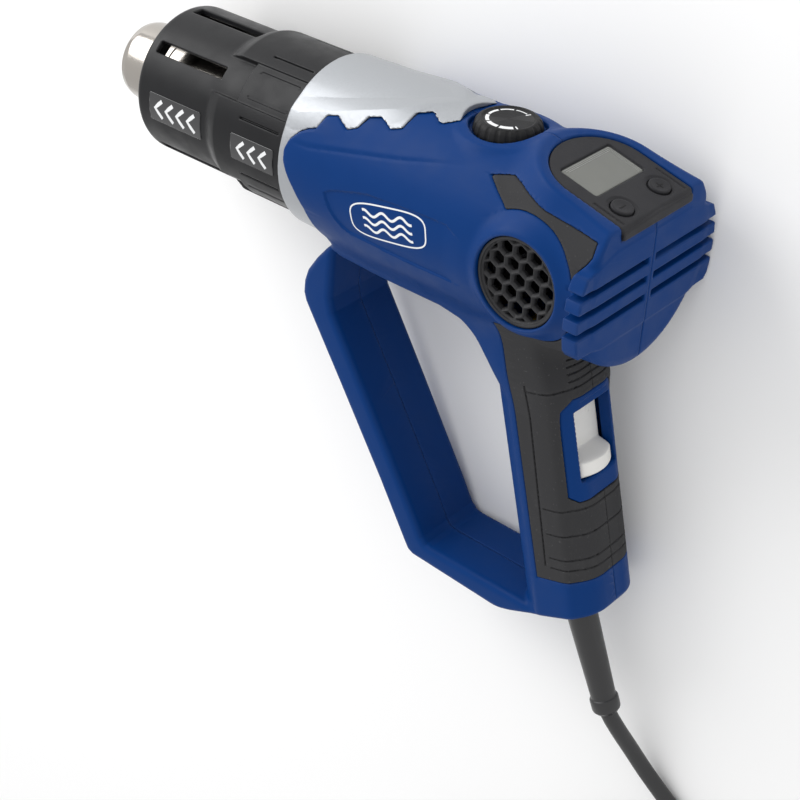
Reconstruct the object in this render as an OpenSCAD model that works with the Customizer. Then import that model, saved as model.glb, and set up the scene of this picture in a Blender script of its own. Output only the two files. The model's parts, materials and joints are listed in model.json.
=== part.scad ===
// Hot air gun with a closed D handle, lying on its right side, with its mains cord coiled beside it.
// The gun is drawn upright about its barrel axis: X forwards along the barrel, Y to the left, Z up,
// with X = 0 at the back of the heat guard. place() then lays it down on its guard, fins and foot.

/* [Barrel] */
// Radius of the motor barrel
barrel_r = 36; // [35.5:0.1:36.5]
// Length of the barrel behind the heat guard
barrel_len = 148; // [146:1:152]
// Wall thickness of the moulded shells
wall = 2.6; // [2:0.1:3]
// Thickness of the rubber overmould
rubber_t = 1.4; // [1:0.1:1.8]

/* [Heat guard] */
// Length of the heat guard in front of the barrel
guard_len = 85.5; // [80:0.5:90]
// Outside radius of the front half of the guard
guard_front_r = 31; // [30:0.1:32]
// Outside radius of the raised pads on the rear half
guard_pad_r = 33.6; // [33:0.1:34.5]
// Number of cooling slots round the front half
guard_slots = 8; // [6:2:8]

/* [Nozzle] */
// Outside radius of the nozzle tube
nozzle_r = 17; // [16.5:0.1:17.5]
// How far the nozzle reaches in front of the barrel
nozzle_front = 112; // [108:1:116]
// Where the nozzle narrows to fit inside the guard
nozzle_step = 86; // [84:1:88]

/* [Handle] */
// Lean of the grip from upright, in degrees
grip_lean = 14; // [12:1:15]
// Depth of the grip, front to back
grip_d = 37; // [36:0.5:38]
// Width of the grip, the front bar and the base
grip_w = 36.6; // [36:0.2:38]
// Corner radius of the grip's section
grip_corner = 13; // [11:0.5:14]

/* [Controls] */
// Radius of the temperature dial at its foot
dial_r = 13; // [12:0.5:13.5]
// Full turn of the temperature dial, in degrees
dial_turn = 270; // [240:10:300]
// Radius of each round button
button_r = 4.2; // [3.6:0.1:4.4]
// Travel of each round button
button_travel = 0.8; // [0.5:0.1:1]
// Travel of the slide switch over its three positions
slider_travel = 9; // [8:0.5:9]

/* [Cord] */
// Diameter of the mains cord
cord_d = 7; // [6.5:0.5:7]
// Mean diameter of the stored coil
coil_d = 77; // [77:1:80]

/* [Hidden] */
$fn = 64;

// How the gun lies: rolled past flat towards its foot, and pitched nose down onto the guard
rest_roll = 7.29;
rest_pitch = 2.58;
lay = [24.57, -84.41, 36.45];

rear_round = 5;
inner_r = barrel_r - wall;
skin_r = barrel_r - rubber_t;
shroud_out = barrel_r + 0.5;
shroud_in = barrel_r - 1.3;
// Intake: centre of the ring on the side of the barrel
intake_x = -117;
intake_z = -2;
intake_r = 17.2;
ring_r = 24.3;
ring_y = 36.8;
// Top deck of the display: its front end, its height there and its slope
deck_x = -104;
deck_z = 36.8;
deck_slope = 14.4;
deck_half_w = 26;
panel_half_w = 21.3;
lip_half_w = 20.9;
lip_bottom = 20.3;
lip_top = 24.2;
lcd_x = -124;
lcd_w = 28.8;
lcd_l = 16.6;
button_x = -140.6;
button_y = 11.2;
// Dial on the top of the barrel
dial_x = -82;
dial_z = 31.4;
dial_h = 5.2;
// Grip, in its own leaning frame: x across its depth, z along it
grip_x = -94.3;
grip_back = grip_x - grip_d / 2;
rubber_front = -89.3;
foot_lean = 24;
foot_corner = [-108, 0, -168.5];
// Slide switch on the back of the grip
bezel_top = -87;
bezel_bottom = -132.5;
window_top = -92.5;
window_bottom = -120.6;
window_half_w = 11;
slider_floor = -103;
slider_z = window_bottom + 0.5;
// Finned block across the back: its outline from behind, and the tops of its slots
fin_block_x = 5;
fin_outline = [[22, 17], [30, 14.6], [38.6, 12.5], [40.8, 8], [42, -1], [42, -10], [40.8, -16.6], [39, -18.8],
    [22, -19.4]];
slot_tops = [6.8, -0.6, -8];
slot_t = 2.2;
slot_depth = 4;
// Heat guard: where the raised pads and the rear ring end, and the slots' ends
pad_front = 44;
pad_ramp = 7;
ring_front = 28.7;
slot_x = [43, 79];
slot_w = 5.2;
// Strain relief, from the sloped end of the foot
relief_from = [-135, 0, -156.6];
relief_len = 54;
relief_angle = 22.8;
relief_r1 = 6.8;
relief_r2 = 5.2;
relief_bore = cord_d / 2 + 0.02;
// Screws that hold the two halves together, as x and z in the side view
screw_spots = [[-20, -23], [-60, 23], [-84, -23], [-138, -14], [-111, -62], [-116.5, -120.5], [-6, -62],
    [-75, -162]];
// Mains cord, where it lies: from the strain relief down to the coil, and from the coil to the plug
relief_dir = [sin(180 + relief_angle), 0, cos(180 + relief_angle)];
relief_end = laid(relief_from + relief_len * relief_dir);
relief_in = laid(relief_from + 20 * relief_dir);
lead_points = [[-137.5, 128, 15], [-143.5, 138.5, 10], [-151, 149, 6], [-161.6, 158.5, 4], [-173, 166.6, 3.6],
    [-188, 178, 3.6], [-202, 188.5, 3.6]];
coil_centre = [-184, 232];
tail_points = [[-176, 277, 4], [-158, 277, 4], [-141, 273.5, 5.5], [-128, 268.8, 8.3], [-119, 268, 9],
    [-113, 268, 9]];
plug_centre = [-95, 268];

// A point of the upright gun, where it lies at rest
function laid(p) =
    let (a = 90 - rest_roll, y1 = p.y * cos(a) - p.z * sin(a), z1 = p.y * sin(a) + p.z * cos(a))
    [p.x * cos(rest_pitch) + z1 * sin(rest_pitch), y1, -p.x * sin(rest_pitch) + z1 * cos(rest_pitch)] + lay;

module place() translate(lay) rotate([90 - rest_roll, rest_pitch, 0]) children();
module grip_frame() rotate([0, grip_lean, 0]) children();
module deck_frame() translate([deck_x, 0, deck_z]) rotate([0, -deck_slope, 0]) children();
module relief_frame() translate(relief_from) rotate([0, 180 + relief_angle, 0]) children();

// ---- Shapes that several pieces share ----

module along_x(x0, x1, r1, r2) translate([x0, 0, 0]) rotate([0, 90, 0]) cylinder(r1 = r1, r2 = r2, h = x1 - x0);
module along_y(y0, y1, r) translate([0, y1, 0]) rotate([90, 0, 0]) cylinder(r = r, h = y1 - y0);
module side_profile(w) rotate([90, 0, 0]) linear_extrude(w, center = true) children();

module rounded_rect(d, w, r) {
    square([d - 2 * r, w], center = true);
    square([d, w - 2 * r], center = true);
    for (i = [-1, 1], j = [-1, 1]) translate([i * (d / 2 - r), j * (w / 2 - r)]) circle(r);
}

module grip_prism(inset, z0, z1)
    grip_frame() translate([grip_x, 0, z0]) linear_extrude(z1 - z0)
        rounded_rect(grip_d - 2 * inset, grip_w - 2 * inset, grip_corner - inset);

module barrel_solid(inset) {
    along_x(rear_round - barrel_len, -0.5, barrel_r - inset, barrel_r - inset);
    along_x(inset - barrel_len, rear_round - barrel_len, barrel_r - rear_round - inset, barrel_r - inset);
}

// Plan outline of the display housing: a round front end and straight sides
module deck_plan(half_w, x_front, x_back)
    intersection() {
        union() {
            translate([x_front - half_w, 0]) circle(half_w);
            translate([x_back, -half_w]) square([x_front - half_w - x_back, 2 * half_w]);
        }
        translate([x_back, -half_w]) square([x_front - x_back, 2 * half_w]);
    }

module deck_solid(inset)
    intersection() {
        translate([0, 0, 5]) linear_extrude(40)
            deck_plan(deck_half_w - inset, -102 - inset, inset - barrel_len);
        deck_frame() translate([-60, -40, -60]) cube([70, 80, 60 - inset]);
    }

module intake_bosses(r, y) translate([intake_x, 0, intake_z]) along_y(-y, y, r);

module loop_profile() {
    difference() {
        polygon([[-24, -24], [-9, -38.5], [-3.5, -45.2], [1, -52], [2.8, -57.5], [3.2, -63], [2.1, -66.9],
            [-0.2, -70.7], [-17.8, -98.2], [-41.7, -136.3], [-56.5, -161.5], [-58.5, -164.6],
            [-61.5, -166.2], [-108, -168.5], [-150, -168.5], [-125, -60], [-108, -24]]);
        loop_opening();
    }
}

module loop_opening()
    polygon([[-13.4, -38], [-12.2, -60.4], [-13.6, -67], [-36.1, -103.7], [-60, -143.6], [-66, -154.5],
        [-68.5, -156.8], [-71, -157.3], [-127, -157.3], [-104, -62], [-95, -52], [-87, -45.5], [-79.5, -40.5],
        [-70, -37.6]]);

module loop_core_profile() {
    polygon([[0.2, -63], [-2.4, -69.4], [-58.6, -160.6], [-64.5, -160.6], [-9.4, -66]]);
    polygon([[-66, -160.2], [-108, -160.2], [-108, -165.6], [-65, -163.4]]);
}

module above_deck() deck_frame() translate([-80, -50, 0]) cube([80, 100, 60]);

module below_foot() translate(foot_corner) rotate([0, foot_lean, 0]) translate([-80, -40, -60]) cube([90, 80, 60]);

module fin_block()
    difference() {
        for (s = [0, 1]) mirror([0, s, 0]) translate([-barrel_len, 0, 0]) rotate([90, 0, 90])
            linear_extrude(fin_block_x) polygon(concat([[0, 17]], fin_outline, [[0, -19.4]]));
        for (top = slot_tops, s = [-1, 1]) translate([-barrel_len - 1, s * 33.5 - 30, top - slot_t])
            cube([slot_depth + 1, 60, slot_t]);
        for (top = slot_tops, s = [-1, 1]) translate([-barrel_len - 1, s * 47.4 - 10, top - slot_t])
            cube([30, 20, slot_t]);
    }

module outer_body(inset)
    difference() {
        union() {
            barrel_solid(inset);
            deck_solid(inset);
            grip_prism(inset, -200, -10);
            side_profile(grip_w - 2 * inset) loop_profile();
            if (inset == 0) {
                intake_bosses(ring_r, ring_y);
                fin_block();
            }
        }
        below_foot();
        above_deck();
        translate([dial_x, 0, dial_z]) cylinder(r = dial_r + 1.6, h = 10);
    }

module inner_body()
    difference() {
        union() {
            along_x(-barrel_len + wall + 1, 3, inner_r - 1, inner_r);
            deck_solid(wall);
            grip_prism(wall, -190, -10);
            side_profile(grip_w - 2 * wall) loop_core_profile();
        }
        translate(foot_corner) rotate([0, foot_lean, 0]) translate([-80, -40, -60]) cube([90, 80, 60 + wall]);
        translate([dial_x, 0, dial_z - wall]) cylinder(r = dial_r + 4, h = 12);
    }

// The rubber's outline from the side: a limb over the intake ring, then the back of the grip
module rubber_outline() {
    difference() {
        polygon([[-93, 26.6], [-102, 29.6], [-113, 27.6], [-148.5, 24], [-148.5, 17.5], [-145, 12.5],
            [-145, -17], [-136, -26], [-128, -36.6], [-136, -60], [-172, -110], [-153, -128.3], [-126, -136.6],
            [-101.1, -36.6], [-97, -28], [-100, -20], [-103, 19]]);
        translate([intake_x, intake_z]) circle(ring_r);
        polygon([[-90, 22], [-97.5, 23.6], [-106, 19], [-106, -27], [-95, -28], [-80, 0]]);
    }
}

module rubber_region(thick) intersection() { side_profile(100) rubber_outline(); rubber_stock(thick); }

module rubber_stock(out)
    difference() {
        union() {
            along_x(-barrel_len + 0.8, -90, barrel_r + out, barrel_r + out);
            grip_prism(-out, -200, -10);
        }
        along_x(-barrel_len - 1, -80, skin_r, skin_r);
        grip_prism(rubber_t, -210, 0);
    }

// The shroud's outline from the side: a collar, then a cover with a saw-tooth edge up to the dial
module shroud_outline()
    polygon([[0.5, 40], [-68, 40], [-71, 35.3], [-62.7, 32.7], [-56.4, 34.2], [-51.3, 33], [-49.8, 28.4],
        [-46, 27.4], [-39.9, 29.9], [-35, 28.7], [-32.7, 24.2], [-28.6, 23], [-22.4, 26], [-17.9, 24.8],
        [-15.5, 19.9], [-9.5, 17.5], [-5.3, 13.5], [-3.9, 8], [-5.2, 2], [-15.3, -20.8], [-15.3, -30],
        [-9, -40], [0.5, -40]]);

module shroud_stock(out, in_r)
    difference() {
        along_x(-72, 0, out, out);
        along_x(-80, 5, in_r, in_r);
        translate([dial_x, 0, 30]) cylinder(r = dial_r + 1.6, h = 12);
    }

module bezel_block(depth, grow)
    grip_frame() translate([grip_back + depth, 0, bezel_bottom - grow])
        linear_extrude(bezel_top - bezel_bottom + 2 * grow)
            translate([-12, -15.5 - grow]) square([12, 31 + 2 * grow]);

module left_half() intersection() { children(); translate([-200, 0, -260]) cube([400, 60, 320]); }
module right_half() intersection() { children(); translate([-200, -60, -260]) cube([400, 60, 320]); }

// Everything that is let into the shells from outside
module shell_pockets() {
    rubber_region(6);
    intersection() { side_profile(100) shroud_outline(); shroud_stock(60, shroud_in); }
    intake_bosses(intake_r + 0.3, 60);
    bezel_block(7.5, 0);
    deck_frame() linear_extrude(6, center = true) deck_plan(panel_half_w, -106 - deck_x, -60);
    translate([-160, -lip_half_w, lip_bottom]) cube([14.5, 2 * lip_half_w, 6]);
    deck_frame() translate([-50, 0, -20]) linear_extrude(40) translate([8, -17]) square([32, 34]);
    translate([dial_x, 0, 10]) cylinder(r = 5, h = 40);
    relief_frame() translate([0, 0, -20]) cylinder(r = relief_r1 + 0.05, h = 60);
    for (top = slot_tops, s = [-1, 1]) translate([-barrel_len - 1, s * 20 - 17, top - slot_t])
        cube([3, 34, slot_t]);
    housing_screw_holes(2.2, 3.6);
}

module housing_screw_holes(shank_r, head_r)
    for (p = screw_spots) translate([p.x, 0, p.y]) {
        along_y(-60, 12, shank_r);
        along_y(-60, -14, head_r);
    }

module screw_posts()
    for (p = screw_spots) translate([p.x, 0, p.y]) along_y(-40, 40, 4.2);

module shell()
    difference() {
        union() {
            difference() {
                outer_body(0);
                inner_body();
            }
            intersection() {
                screw_posts();
                outer_body(0.5);
            }
        }
        shell_pockets();
    }

// ---- Housing ----

module left_shell() color("royalblue") place() left_half() shell();
module right_shell() color("royalblue") place() right_half() shell();
module left_overmould() color("dimgray") place() left_half() rubber_trimmed();
module right_overmould() color("dimgray") place() right_half() rubber_trimmed();

module rubber_trimmed()
    difference() {
        rubber_region(0);
        bezel_block(7.5, 0);
        deck_solid(0);
        housing_screw_holes(2.2, 3.6);
        below_foot();
    }

module nose_shroud() color("silver") place()
    intersection() {
        side_profile(100) shroud_outline();
        shroud_stock(shroud_out, shroud_in);
    }

// ---- Hot end ----

module heat_guard() color([0.17, 0.17, 0.18]) place()
    difference() {
        union() {
            along_x(0, guard_len - 3, guard_front_r, guard_front_r);
            along_x(guard_len - 3, guard_len, guard_front_r, guard_front_r - 3);
            along_x(0, ring_front, guard_pad_r, guard_pad_r);
            for (a = [0, 90]) rotate([a, 0, 0]) intersection() {
                union() {
                    along_x(ring_front - 1, pad_front - pad_ramp, guard_pad_r, guard_pad_r);
                    along_x(pad_front - pad_ramp, pad_front, guard_pad_r, guard_front_r);
                }
                translate([0, -50, -guard_pad_r / 2]) cube([60, 100, guard_pad_r]);
            }
        }
        along_x(-1, guard_len - 4, guard_front_r - 2.4, guard_front_r - 2.4);
        along_x(guard_len - 5, guard_len + 1, 23, 23);
        for (i = [0 : guard_slots - 1]) if (i % (guard_slots / 2) > 0) rotate([i * 360 / guard_slots, 0, 0])
            translate([slot_x[0], 20, -slot_w / 2]) cube([slot_x[1] - slot_x[0], 20, slot_w]);
    }

// Label plates on both sides, one on the front half and one on a pad
module guard_labels() color("white") place()
    for (s = [[47, 77, guard_front_r], [4, 27.5, guard_pad_r]])
        intersection() {
            difference() {
                along_x(s[0], s[1], s[2] + 0.3, s[2] + 0.3);
                along_x(s[0] - 1, s[1] + 1, s[2], s[2]);
            }
            translate([0, -60, -6]) cube([100, 120, 12]);
        }

module nozzle_tube() color("gainsboro") place() {
    difference() {
        union() {
            along_x(6, nozzle_step, nozzle_r - 0.5, nozzle_r - 0.5);
            along_x(nozzle_step, nozzle_front - 3, nozzle_r, nozzle_r);
        }
        along_x(5, nozzle_front, nozzle_r - 1.1, nozzle_r - 1.1);
    }
    difference() {
        along_x(nozzle_front - 3, nozzle_front, nozzle_r, nozzle_r - 1.5);
        along_x(nozzle_front - 4, nozzle_front + 1, nozzle_r - 2.8, nozzle_r - 3);
    }
}

module mica_sleeve() color("tan") place()
    difference() {
        along_x(6, 96, nozzle_r - 1.2, nozzle_r - 1.2);
        along_x(5, 97, nozzle_r - 1.8, nozzle_r - 1.8);
    }

module element_core() color("ivory") place() {
    for (a = [0 : 45 : 135]) rotate([a, 0, 0]) translate([8, -1.2, -12.5]) cube([84, 2.4, 25]);
}

module heating_coil() color("slategray") place()
    for (x = [14 : 8 : 86]) translate([x, 0, 0]) rotate([0, 90, 0])
        rotate_extrude() translate([13.4, 0]) circle(0.8);

module element_flange() color("gainsboro") place()
    difference() {
        union() {
            along_x(-6, -4, inner_r - 0.6, inner_r - 0.6);
            along_x(-4, 6, nozzle_r + 1, nozzle_r + 1);
        }
        along_x(-7, 7, nozzle_r - 1.8, nozzle_r - 1.8);
    }

// ---- Fan and motor ----

module fan_motor() color("dimgray") place()
    difference() {
        union() {
            along_x(-92, -50, 14, 14);
            along_x(-94.5, -92, 6, 6);
        }
        along_x(-96, -49, 1.6, 1.6);
    }

module rectifier_board() color("darkgreen") place()
    difference() {
        along_x(-49.5, -47.9, 13, 13);
        along_x(-51, -46, 4, 4);
    }

module motor_shaft() color("lightsteelblue") place() along_x(-110, -52, 1.55, 1.55);

module fan_impeller() color("darkslategray") place() {
    difference() {
        union() {
            along_x(-110, -97, 6, 6);
            along_x(-98.5, -97, 26, 26);
            for (a = [0 : 40 : 320]) rotate([a, 0, 0]) translate([-109, 5, -0.8]) cube([11, 20.5, 1.6]);
        }
        along_x(-112, -96, 1.55, 1.55);
    }
}

module fan_baffle() color("black") place()
    difference() {
        union() {
            along_x(-96, -94.6, inner_r - 1.4, inner_r - 1.4);
            along_x(-94.6, -60, 15.2, 15.2);
        }
        along_x(-97, -59, 14, 14);
        translate([dial_x, 0, dial_z - wall - 0.3]) cylinder(r = dial_r + 4.4, h = 12);
        for (a = [30 : 60 : 330]) rotate([a, 0, 0]) translate([-98, 17, -6]) cube([6, 12, 12]);
    }

// ---- Display and controls ----

module control_board() color("darkgreen") place() deck_frame() translate([-41, -18, -12]) cube([31, 36, 1.6]);

module lcd_module() color("darkslategray") place() deck_frame()
    translate([lcd_x - deck_x - 10.5, -17, -9]) cube([21, 34, 4.5]);

module lcd_window() color([0.5, 0.52, 0.48]) place() deck_frame()
    translate([lcd_x - deck_x - lcd_l / 2, -lcd_w / 2, -2.6]) cube([lcd_l, lcd_w, 2]);

module display_panel() color([0.2, 0.2, 0.22]) place() {
    deck_frame() difference() {
        translate([0, 0, -3]) linear_extrude(2.6) deck_plan(panel_half_w, -106 - deck_x, -43.4);
        translate([lcd_x - deck_x - lcd_l / 2, -lcd_w / 2, -4]) cube([lcd_l, lcd_w, 6]);
        for (s = [-1, 1]) translate([(button_x - deck_x) / cos(deck_slope), s * button_y, -4])
            cylinder(r = button_r + 0.2, h = 6);
    }
    translate([-barrel_len, -lip_half_w, lip_bottom]) cube([2.5, 2 * lip_half_w, lip_top - lip_bottom]);
}

module round_button(side) color([0.24, 0.24, 0.26]) place() deck_frame()
    translate([(button_x - deck_x) / cos(deck_slope), side * button_y, 0]) {
        translate([0, 0, -4]) cylinder(r = button_r, h = 4);
        translate([0, 0, -8.5]) cylinder(r = 2, h = 5);
    }

module minus_button() round_button(1);
module plus_button() round_button(-1);

module dial_knob() color([0.2, 0.2, 0.2]) place() translate([dial_x, 0, dial_z + 0.3]) {
    cylinder(r1 = dial_r, r2 = dial_r - 1.2, h = dial_h - 1);
    translate([0, 0, dial_h - 1]) cylinder(r1 = dial_r - 1.2, r2 = dial_r - 2, h = 1);
    translate([0, 0, -9]) cylinder(r = 3, h = 9.5);
}

module potentiometer() color("slategray") place() translate([dial_x, 0, 0])
    difference() {
        union() {
            translate([0, 0, 16.6]) cylinder(r = 8, h = 5);
            translate([-9, -10, 15.4]) cube([18, 20, 1.2]);
            translate([0, 0, 21.6]) cylinder(r = 4.5, h = 7);
        }
        translate([0, 0, 22]) cylinder(r = 3.05, h = 10);
    }

module intake_grille(side) color([0.25, 0.25, 0.26]) place()
    translate([intake_x, 0, intake_z]) mirror([0, side > 0 ? 0 : 1, 0])
        difference() {
            union() {
                along_y(ring_y - 4.4, ring_y - 1.6, intake_r);
                difference() {
                    along_y(ring_y - 4.4, ring_y - 0.8, intake_r);
                    along_y(ring_y - 5, ring_y, intake_r - 1.3);
                }
            }
            for (i = [-2 : 2], j = [-2 : 2]) if (abs(i + j) <= 2)
                translate([(i + j / 2) * 6.4, 0, j * 5.55]) rotate([90, 0, 0]) rotate(30)
                    cylinder(r = 2.9, h = 100, center = true, $fn = 6);
        }

module left_intake_grille() intake_grille(1);
module right_intake_grille() intake_grille(-1);

module switch_bezel() color("royalblue") place()
    difference() {
        intersection() {
            bezel_block(7.5, -0.1);
            grip_prism(0, -200, -20);
        }
        grip_frame() translate([grip_back - 3, -window_half_w, window_bottom])
            cube([20, 2 * window_half_w, window_top - window_bottom]);
    }

module switch_slider() color("gainsboro") place() grip_frame() {
    translate([slider_floor, -10.6, slider_z]) cube([1.8, 21.2, 27.6]);
    translate([grip_back + 1.2, -10.6, slider_z]) cube([slider_floor - grip_back, 21.2, 12.2]);
    translate([slider_floor + 1.5, -2.5, slider_z + 4]) cube([5, 5, 5]);
}

module switch_body() color([0.12, 0.12, 0.12]) place() grip_frame()
    difference() {
        translate([slider_floor + 3, -9, -128]) cube([15, 18, 36]);
        translate([slider_floor + 2, -3, slider_z + 3.6]) cube([5.5, 6, 5.8 + slider_travel]);
    }

// ---- Inside the grip and the foot ----

module terminal_block() color("ivory") place() grip_frame() translate([-102, -9, -146]) cube([12, 18, 12]);
module suppression_capacitor() color("gold") place() grip_frame() translate([-101, -9, -82]) cube([11, 18, 22]);

module cord_clamp() color([0.15, 0.15, 0.15]) place() relief_frame()
    difference() {
        translate([-4, -13, -15]) cube([5, 26, 8]);
        translate([0, 0, -20]) cylinder(r = cord_d / 2 + 0.1, h = 20);
        for (s = [-1, 1]) translate([-10, s * 9.5, -11]) rotate([0, 90, 0]) cylinder(r = 1.6, h = 20);
    }

module clamp_screws() color("lightsteelblue") place() relief_frame()
    for (s = [-1, 1]) translate([0, s * 9.5, -11]) rotate([0, 90, 0]) {
        translate([0, 0, -4]) cylinder(r = 1.55, h = 5);
        translate([0, 0, 1]) cylinder(r = 3, h = 2);
    }

module housing_screws() color("lightsteelblue") place()
    for (p = screw_spots) translate([p.x, 0, p.y]) {
        along_y(-14, 8, 2.15);
        along_y(-16, -14, 3.5);
    }

module strain_relief() color([0.15, 0.15, 0.16]) place() relief_frame()
    difference() {
        union() {
            translate([0, 0, -3]) cylinder(r = relief_r1, h = 8);
            translate([0, 0, 5]) cylinder(r1 = relief_r1, r2 = relief_r2, h = relief_len - 5);
        }
        translate([0, 0, -4]) cylinder(r = relief_bore, h = relief_len + 8);
    }

// ---- Mains cord, where it lies ----

module cord_lead() color([0.1, 0.1, 0.1]) sweep_tube(concat([relief_in, relief_end], lead_points), cord_d / 2);
module cord_tail() color([0.1, 0.1, 0.1]) sweep_tube(tail_points, cord_d / 2);

// A tube of 8 sides swept along points, each ring square to the path there
module sweep_tube(path, r) {
    n = len(path);
    sides = 8;
    rings = [for (i = [0 : n - 1])
        let (t = unit(path[min(i + 1, n - 1)] - path[max(i - 1, 0)]),
            u = unit(cross([0, 0, 1], t)),
            v = cross(t, u))
        for (k = [0 : sides - 1]) path[i] + r * (cos(k * 360 / sides) * u + sin(k * 360 / sides) * v)];
    faces = concat(
        [for (i = [0 : n - 2], k = [0 : sides - 1])
            let (a = i * sides + k, b = i * sides + (k + 1) % sides)
            [a, a + sides, b + sides, b]],
        [[for (k = [0 : sides - 1]) k]],
        [[for (k = [sides - 1 : -1 : 0]) (n - 1) * sides + k]]);
    polyhedron(rings, faces, convexity = 4);
}

function unit(v) = v / norm(v);

module cord_coil() color([0.1, 0.1, 0.1]) translate([coil_centre.x, coil_centre.y, 0])
    rotate_extrude() translate([coil_d / 2 - 1.5 * cord_d, 0]) square([3 * cord_d, 19]);

module coil_tie() color("black") translate([coil_centre.x - coil_d / 2, coil_centre.y, 0])
    difference() {
        translate([-1.5 * cord_d - 1.2, -4, 0]) cube([3 * cord_d + 2.8, 8, 20.2]);
        translate([-1.5 * cord_d - 0.05, -5, -1]) cube([3 * cord_d + 0.45, 10, 20.05]);
    }

// A round-ended plug on its flat side, and its two 4.8 mm pins, 19 mm apart
module plug_body() color([0.12, 0.12, 0.12]) translate([plug_centre.x, plug_centre.y, 0])
    difference() {
        union() {
            linear_extrude(18) translate([5, 0]) rounded_rect(26, 36, 9);
            linear_extrude(18) polygon([[-18, -6], [-18, 6], [0, 17.5], [0, -17.5]]);
        }
        for (s = [-1, 1]) translate([8, s * 9.5, 9]) rotate([0, 90, 0]) cylinder(r = 1.8, h = 12);
    }

module plug_pins() color("silver") translate([plug_centre.x, plug_centre.y, 9])
    for (s = [-1, 1]) translate([0, s * 9.5, 0]) rotate([0, 90, 0]) {
        translate([0, 0, 8]) cylinder(r = 1.8, h = 10);
        translate([0, 0, 18]) cylinder(r = 2.4, h = 19);
    }

left_shell();
right_shell();
left_overmould();
right_overmould();
nose_shroud();
heat_guard();
guard_labels();
nozzle_tube();
mica_sleeve();
element_core();
heating_coil();
element_flange();
fan_motor();
rectifier_board();
motor_shaft();
fan_impeller();
fan_baffle();
control_board();
display_panel();
lcd_window();
lcd_module();
minus_button();
plus_button();
dial_knob();
potentiometer();
left_intake_grille();
right_intake_grille();
switch_bezel();
switch_slider();
switch_body();
terminal_block();
suppression_capacitor();
cord_clamp();
clamp_screws();
housing_screws();
strain_relief();
cord_lead();
cord_coil();
cord_tail();
coil_tie();
plug_body();
plug_pins();
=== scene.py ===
"""Hot air gun lying on its right side, with its mains cord coiled beside it.

Shapes are drawn in millimetres about the barrel axis of the upright gun: x forwards with 0 at the back of the
heat guard, y to the gun's left, z up. laid() puts such points where the gun lies, in metres.
"""

import json
import math

import bpy
import numpy as np
from mathutils import Matrix, Vector

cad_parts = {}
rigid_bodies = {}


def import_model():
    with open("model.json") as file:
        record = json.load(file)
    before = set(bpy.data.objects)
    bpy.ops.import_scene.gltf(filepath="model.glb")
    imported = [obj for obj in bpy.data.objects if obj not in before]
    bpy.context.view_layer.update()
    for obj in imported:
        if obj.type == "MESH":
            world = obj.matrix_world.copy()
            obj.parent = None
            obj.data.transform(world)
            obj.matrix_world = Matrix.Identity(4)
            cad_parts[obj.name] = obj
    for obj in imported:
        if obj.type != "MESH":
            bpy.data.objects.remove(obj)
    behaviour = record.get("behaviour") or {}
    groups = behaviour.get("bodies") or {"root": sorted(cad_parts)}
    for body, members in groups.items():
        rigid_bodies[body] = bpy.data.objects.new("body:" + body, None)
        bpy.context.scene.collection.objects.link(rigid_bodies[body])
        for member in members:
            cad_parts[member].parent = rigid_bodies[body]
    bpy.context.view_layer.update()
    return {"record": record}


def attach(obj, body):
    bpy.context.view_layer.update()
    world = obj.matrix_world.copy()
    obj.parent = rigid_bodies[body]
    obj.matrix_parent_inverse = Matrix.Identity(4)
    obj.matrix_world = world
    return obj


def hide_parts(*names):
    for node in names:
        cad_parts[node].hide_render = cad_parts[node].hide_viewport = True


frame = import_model()

# ---- How the gun lies ----

REST_ROLL, REST_PITCH = math.radians(7.29), math.radians(2.58)
LAY = np.array([24.57, -84.41, 36.45])
TURN = np.array(Matrix.Rotation(REST_PITCH, 3, "Y") @ Matrix.Rotation(math.pi / 2 - REST_ROLL, 3, "X"))


def laid(points):
    return (np.asarray(points, float) @ TURN.T + LAY) / 1000


def on_floor(points):
    return np.asarray(points, float) / 1000


# ---- Camera ----

EYE = (-412.95, 449.0, 292.3)
EYE_RIGHT = (-0.7507, -0.6598, 0.0345)
EYE_UP = (0.3934, -0.4045, 0.8256)


def add_camera():
    right = Vector(TURN @ EYE_RIGHT).normalized()
    up = Vector(TURN @ EYE_UP)
    up = (up - right * up.dot(right)).normalized()
    camera = bpy.data.objects.new("camera", bpy.data.cameras.new("camera"))
    camera.data.lens = 76.05
    camera.data.clip_start = 0.01
    axes = Matrix((right, up, right.cross(up))).transposed()
    camera.matrix_world = Matrix.Translation(Vector(laid(EYE))) @ axes.to_4x4()
    bpy.context.scene.collection.objects.link(camera)
    bpy.context.scene.camera = camera
    return right, up


EYE_X, EYE_Y = add_camera()

# ---- Materials ----


def node_of(tree, kind, inputs=(), **settings):
    """A new node with its settings and input values; a socket given as a value is linked."""
    node = tree.nodes.new(kind)
    for key, value in settings.items():
        setattr(node, key, value)
    for key, value in dict(inputs).items():
        if isinstance(value, bpy.types.NodeSocket):
            tree.links.new(value, node.inputs[key])
        else:
            node.inputs[key].default_value = value
    return node


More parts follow.
